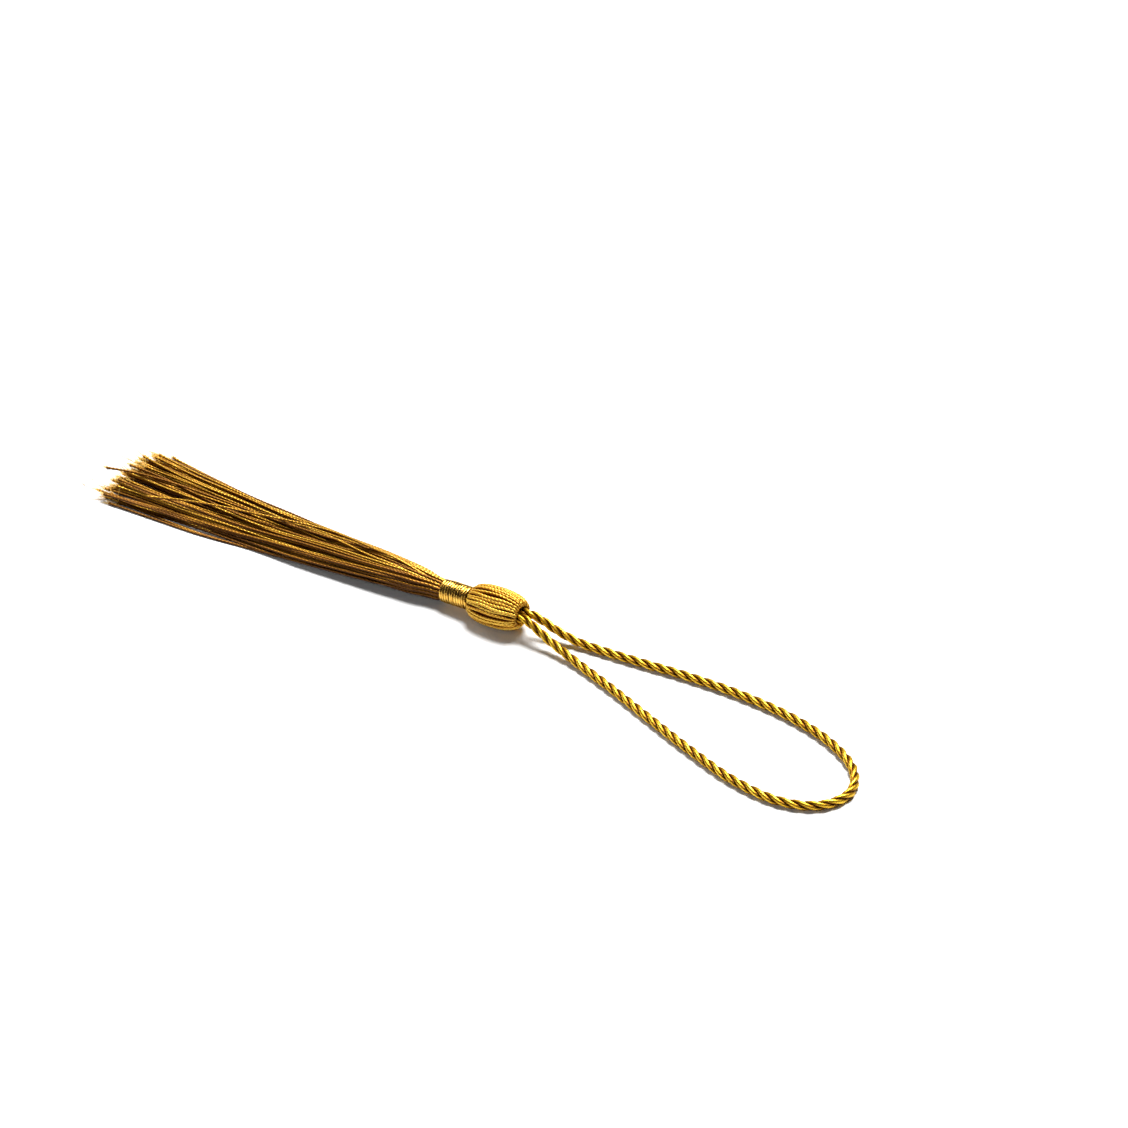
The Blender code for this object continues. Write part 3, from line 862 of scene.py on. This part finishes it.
# %% Wound thread of the binding
BINDING_FROM = -8.35
BINDING_TO = -0.40
BINDING_TURNS = 11
KNOTS_PER_TURN = 12
BINDING_RADIUS = 2.62
THREAD_HALF_HEIGHT = 0.30
STEPS_PER_TURN = 72
THREAD_POINTS = 12
UNEVEN = (0.032, 0.030, 0.30)  # in height, station and roll
TUCKED_OVER = 0.2  # of a turn, at each end
TUCKED_IN = 0.45
BARREL = 0.05
WIDTH_OF_PITCH = 0.53  # half the thread's width, a little over half a pitch, so that turns overlap
LIT_SINE = 0.9

random = np.random.default_rng(8)
steps = BINDING_TURNS * STEPS_PER_TURN + 1
share = np.linspace(0.0, 1.0, steps)
turn = 2 * math.pi * BINDING_TURNS * share
pitch = (BINDING_TO - BINDING_FROM) / BINDING_TURNS
# Random heights, places and rolls at a few knots of each turn, joined smoothly
knots = random.normal(0.0, UNEVEN, (BINDING_TURNS * KNOTS_PER_TURN + 1, 3))
raised, drifted, roll = smooth_curve(knots, between=STEPS_PER_TURN // KNOTS_PER_TURN).T
roll = roll[:, None]
tucked = 1 - smooth_step(np.minimum(share, 1 - share) * BINDING_TURNS / TUCKED_OVER)
out = BINDING_RADIUS + raised + BARREL * np.sin(math.pi * share) - TUCKED_IN * tucked
binding_station = BINDING_FROM + (BINDING_TO - BINDING_FROM) * share + drifted
binding_line = on_axis(binding_station, out * np.cos(turn), out * np.sin(turn))
outward = unit(binding_line - on_axis(binding_station, 0.0, 0.0))
around = np.arange(THREAD_POINTS) * 2 * math.pi / THREAD_POINTS
across = pitch * WIDTH_OF_PITCH * np.cos(around)
upright = THREAD_HALF_HEIGHT * np.sin(around)
grid = carried(
    binding_line,
    outward,
    across * np.cos(roll) - upright * np.sin(roll),
    across * np.sin(roll) + upright * np.cos(roll),
)
binding_along = turn * BINDING_RADIUS
# Painted shade on the binding thread: darker from each turn's outer crest towards the flanks, where it
# meets the next turns, and on its inner side
crest = smooth_step(np.sin(around) / LIT_SINE) * np.ones((steps, 1))
binding = thread_mesh("binding_thread", [Tube(grid, binding_along, crest)])
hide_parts("neck_binding")
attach(binding, "root")

# %% [markdown]
# ## Silk
#
# Silk and rayon shine because their filaments are smooth and all lie the same way. Light that glances off
# the crests is pale yellow, and light that goes down between the threads is dyed again each time it
# bounces, so it comes back as a deep brown. The material adds what is too small to model: the filaments
# and slow changes of shade along a yarn. It also paints light and shade into the colour: painted shade
# in the grooves, on the undersides and under covering layers, and dark parts painted redder for the
# bounced light.
#
# Five materials need the same thing, so it is built once as a node group. It puts out a colour, a height
# for the bump and a mask for the roughness. The shader itself stays in each material.


# %% Node group for dyed filaments with painted light and shade
def set_inputs(node, **values):
    """Values for the inputs of a node. An underscore stands for the space in an input's name."""
    for label, value in values.items():
        node.inputs[label.replace("_", " ")].default_value = value


def link(first, output, second, socket):
    """A wire from an output of one node to a socket of another."""
    first.id_data.links.new(first.outputs[output], second.inputs[socket])


def math_node(tree, operation, first, second):
    """A math node whose two inputs are sockets or numbers."""
    node = tree.nodes.new("ShaderNodeMath")
    node.operation = operation
    for socket, value in zip(node.inputs, (first, second)):
        if isinstance(value, bpy.types.NodeSocket):
            tree.links.new(value, socket)
        else:
            socket.default_value = value
    return node.outputs[0]


ALONG_SCALE = 0.55  # of the streaks, for each millimetre
APART = 97.0  # how far apart in the noise two threads of unlike dye lie
DRIFT_SCALE = 160.0  # of the slow change of shade, for each metre
BASE_SHADE = 0.2
DRIFT_SHADE = 0.5
STREAK_SHADE = 0.8
PAINTED_LIGHT_POWER = 0.9
LIT_GAIN = 1.2
# Painted bounce light: how much redder and darker the shaded parts are painted
PAINTED_BOUNCE = 0.8
Sockets = namedtuple("Sockets", "way kind labels")
SOCKETS = (
    Sockets("INPUT", "NodeSocketVector", ("Thread", "Place")),
    Sockets("INPUT", "NodeSocketFloat", ("Crest", "Dye", "Filaments", "Slant", "Uneven")),
    Sockets("INPUT", "NodeSocketColor", ("Deep", "Bright")),
    Sockets("OUTPUT", "NodeSocketColor", ("Color",)),
    Sockets("OUTPUT", "NodeSocketFloat", ("Height", "Mask")),
)


def filaments_dye_and_painted_light_group():
    """Streaks that follow the thread, from noise that is stretched along it, and a dye that drifts slowly
    over the whole piece and differs a little from thread to thread, with painted light and shade on top.
    Lit is the painted light value to the power PAINTED_LIGHT_POWER, times the shade of the dye, times
    LIT_GAIN. It mixes the painted shade colour and the painted lit colour. The mix is then raised to the
    power 1 + PAINTED_BOUNCE * (1 - lit), which paints the dark parts redder, as bounced light."""
    group = bpy.data.node_groups.new("filaments_dye_and_painted_light", "ShaderNodeTree")
    for sockets in SOCKETS:
        for label in sockets.labels:
            group.interface.new_socket(label, in_out=sockets.way, socket_type=sockets.kind)
    given = group.nodes.new("NodeGroupInput")
    result = group.nodes.new("NodeGroupOutput")
    calc = partial(math_node, group)
    # Noise in a space where one axis runs along the thread and the two others make its way round a circle
    split = group.nodes.new("ShaderNodeSeparateXYZ")
    link(given, "Thread", split, "Vector")
    slanted = calc("MULTIPLY", split.outputs["X"], given.outputs["Slant"])
    turn = calc("MULTIPLY", calc("ADD", split.outputs["Y"], slanted), 2 * math.pi)
    radius = calc("DIVIDE", given.outputs["Filaments"], 2 * math.pi)
    along = calc("MULTIPLY", split.outputs["X"], ALONG_SCALE)
    apart = calc("MULTIPLY", given.outputs["Dye"], APART)
    joined = group.nodes.new("ShaderNodeCombineXYZ")
    group.links.new(calc("ADD", along, apart), joined.inputs["X"])
    group.links.new(calc("MULTIPLY", radius, calc("COSINE", turn, 0.0)), joined.inputs["Y"])
    group.links.new(calc("MULTIPLY", radius, calc("SINE", turn, 0.0)), joined.inputs["Z"])
    streaks = group.nodes.new("ShaderNodeTexNoise")
    set_inputs(streaks, Scale=1.0, Detail=3.0, Roughness=0.6)
    link(joined, "Vector", streaks, "Vector")
    drift = group.nodes.new("ShaderNodeTexNoise")
    set_inputs(drift, Scale=DRIFT_SCALE, Detail=2.0)
    link(given, "Place", drift, "Vector")
    drifted = calc("ADD", calc("MULTIPLY", drift.outputs["Fac"], DRIFT_SHADE), BASE_SHADE)
    streaked = calc("MULTIPLY", streaks.outputs["Fac"], STREAK_SHADE)
    of_thread = calc("MULTIPLY", calc("SUBTRACT", given.outputs["Dye"], 0.5), given.outputs["Uneven"])
    shade = calc("ADD", calc("ADD", drifted, streaked), of_thread)
    # Painted light and shade: lit is the painted light value times the shade of the dye
    lit = calc("MULTIPLY", calc("POWER", given.outputs["Crest"], PAINTED_LIGHT_POWER), shade)
    lit = calc("MINIMUM", calc("MULTIPLY", lit, LIT_GAIN), 1.0)
    # lit mixes the painted shade colour and the painted lit colour
    mixed = group.nodes.new("ShaderNodeMix")
    mixed.data_type = "RGBA"
    group.links.new(lit, mixed.inputs["Factor"])
    link(given, "Deep", mixed, "A")
    link(given, "Bright", mixed, "B")
    # Painted bounce light: the shaded parts are painted redder, as light from them has bounced, and been
    # dyed, nearly twice
    painted_bounce = group.nodes.new("ShaderNodeGamma")
    link(mixed, "Result", painted_bounce, "Color")
    times_bounced = calc("SUBTRACT", 1 + PAINTED_BOUNCE, calc("MULTIPLY", lit, PAINTED_BOUNCE))
    group.links.new(times_bounced, painted_bounce.inputs["Gamma"])
    link(painted_bounce, "Color", result, "Color")
    link(streaks, "Fac", result, "Height")
    group.links.new(lit, result.inputs["Mask"])
    return group


filaments_dye_and_painted_light = filaments_dye_and_painted_light_group()
print("group sockets:", [item.name for item in filaments_dye_and_painted_light.interface.items_tree])

# %% [markdown]
# ## The five finishes
#
# Each finish is the same group with its own values. The skirt's yarn is the brownest, because its fine
# plies leave much shade between them. The frayed ends are single filaments, so they are paler and less
# glossy. The cord is the yellowest on its crests and nearly as dark as the skirt between its plies. The
# binding thread is drawn tight and has the strongest gloss.


# %% Materials
# Each finish has a painted shade colour for the shaded parts, a painted lit colour for the lit ones, and a
# roughness for each
Finish = namedtuple(
    "Finish", "name deep bright filaments slant uneven rough_deep rough_bright metallic bump"
)
SKIRT_YARN = Finish(
    "skirt_yarn", (0.12, 0.040, 0.003), (0.60, 0.315, 0.028), 14.0, 0.35, 1.0, 0.55, 0.25, 0.60, 0.015
)
FRAYED_ENDS = Finish(
    "frayed_ends", (0.40, 0.170, 0.010), (0.92, 0.600, 0.120), 6.0, 0.00, 0.4, 0.50, 0.40, 0.10, 0.005
)
HEAD_YARN = Finish(
    "head_yarn", (0.40, 0.170, 0.009), (0.86, 0.530, 0.066), 14.0, 0.35, 0.6, 0.55, 0.24, 0.50, 0.018
)
LOOP_CORD = Finish(
    "loop_cord", (0.18, 0.062, 0.004), (1.00, 0.680, 0.065), 22.0, 0.12, 0.2, 0.50, 0.26, 0.80, 0.018
)
BINDING = Finish(
    "binding_thread", (0.16, 0.060, 0.005), (0.80, 0.490, 0.100), 9.0, 0.45, 0.2, 0.20, 0.09, 0.97, 0.085
)
HIGHLIGHT = (1.0, 0.93, 0.60, 1.0)
EDGE_GLOSS = 0.7


def silk_material(finish):
    """A Principled shader fed by the filament group: colour, roughness from the mask, and a bump."""
    material = bpy.data.materials.new(finish.name)
    material.use_nodes = True
    nodes = material.node_tree.nodes
    shader = nodes["Principled BSDF"]
    set_inputs(shader, Metallic=finish.metallic, Specular_IOR_Level=EDGE_GLOSS, Specular_Tint=HIGHLIGHT)
    filaments = nodes.new("ShaderNodeGroup")
    filaments.node_tree = filaments_dye_and_painted_light
    set_inputs(filaments, Filaments=finish.filaments, Slant=finish.slant, Uneven=finish.uneven)
    set_inputs(filaments, Deep=(*finish.deep, 1.0), Bright=(*finish.bright, 1.0))
    thread = nodes.new("ShaderNodeUVMap")
    thread.uv_map = "thread"
    link(thread, "UV", filaments, "Thread")
    link(nodes.new("ShaderNodeTexCoord"), "Object", filaments, "Place")
    for label in ("Crest", "Dye"):
        stored = nodes.new("ShaderNodeAttribute")
        stored.attribute_name = label.lower()
        link(stored, "Fac", filaments, label)
    link(filaments, "Color", shader, "Base Color")
    gloss = nodes.new("ShaderNodeMapRange")
    set_inputs(gloss, To_Min=finish.rough_deep, To_Max=finish.rough_bright)
    link(filaments, "Mask", gloss, "Value")
    link(gloss, "Result", shader, "Roughness")
    bump = nodes.new("ShaderNodeBump")
    set_inputs(bump, Distance=finish.bump * MM)
    link(filaments, "Height", bump, "Height")
    link(bump, "Normal", shader, "Normal")
    return material


for finish, pieces in (
    (SKIRT_YARN, skirt_pieces),
    (FRAYED_ENDS, [frayed_ends]),
    (HEAD_YARN, [head_yarns, head_core]),
    (LOOP_CORD, [cord]),
    (BINDING, [binding]),
):
    material = silk_material(finish)
    for piece in pieces:
        piece.data.materials.append(material)

# %% [markdown]
# ## Table and light
#
# A product picture like this is taken on a white table under a large soft light from above and behind, so
# that the tops of the threads are bright and their lower sides fall into shade. A sun lamp with a wide
# angle does this evenly over the whole table, and a small softbox from the left fills in. A weak one from
# the front only lightens the shadow on the table, so it is kept out of reflections. The room is dim,
# which gives the glossy binding its dark band, and only white where it is seen straight behind the table.

# %% Table, lights and world
TABLE_REACH = 3.0  # metres to each side
TABLE_COLOUR = (0.8, 0.8, 0.8, 1.0)
TABLE_GLOSS = 0.1
table_mesh = bpy.data.meshes.new("table")
table_corners = [(x * TABLE_REACH, y * TABLE_REACH, 0.0) for x, y in ((-1, -1), (1, -1), (1, 1), (-1, 1))]
table_mesh.from_pydata(table_corners, [], [(0, 1, 2, 3)])
table = bpy.data.objects.new("table", table_mesh)
bpy.context.scene.collection.objects.link(table)
white = bpy.data.materials.new("white_table")
white.use_nodes = True
white_shader = white.node_tree.nodes["Principled BSDF"]
set_inputs(white_shader, Base_Color=TABLE_COLOUR, Roughness=1.0, Specular_IOR_Level=TABLE_GLOSS)
table_mesh.materials.append(white)

Light = namedtuple("Light", "name kind x y z width power in_reflections")
LIGHTS = (
    Light("light_above", "SUN", -0.08, 0.40, 0.80, math.radians(30.0), 7.6, True),
    Light("softbox_left", "AREA", -0.90, 0.10, 0.45, 0.40, 2.0, True),
    Light("softbox_front", "AREA", -0.30, -0.85, 0.50, 0.60, 2.2, False),
)
for light in LIGHTS:
    data = bpy.data.lights.new(light.name, light.kind)
    data.energy = light.power
    if light.kind == "SUN":
        data.angle = light.width
    else:
        data.size = light.width
    lamp = bpy.data.objects.new(light.name, data)
    lamp.visible_glossy = light.in_reflections
    lamp.location = (light.x, light.y, light.z)
    lamp.rotation_euler = lamp.location.to_track_quat("Z", "Y").to_euler()
    bpy.context.scene.collection.objects.link(lamp)

DIM_ROOM = 0.045
world = bpy.data.worlds.new("studio")
world.use_nodes = True
room = world.node_tree.nodes["Background"]
set_inputs(room, Color=(1.0, 1.0, 1.0, 1.0))
path = world.node_tree.nodes.new("ShaderNodeLightPath")
strength = world.node_tree.nodes.new("ShaderNodeMapRange")
set_inputs(strength, To_Min=DIM_ROOM, To_Max=1.0)
link(path, "Is Camera Ray", strength, "Value")
link(strength, "Result", room, "Strength")
bpy.context.scene.world = world
bpy.context.scene.view_settings.view_transform = "Standard"
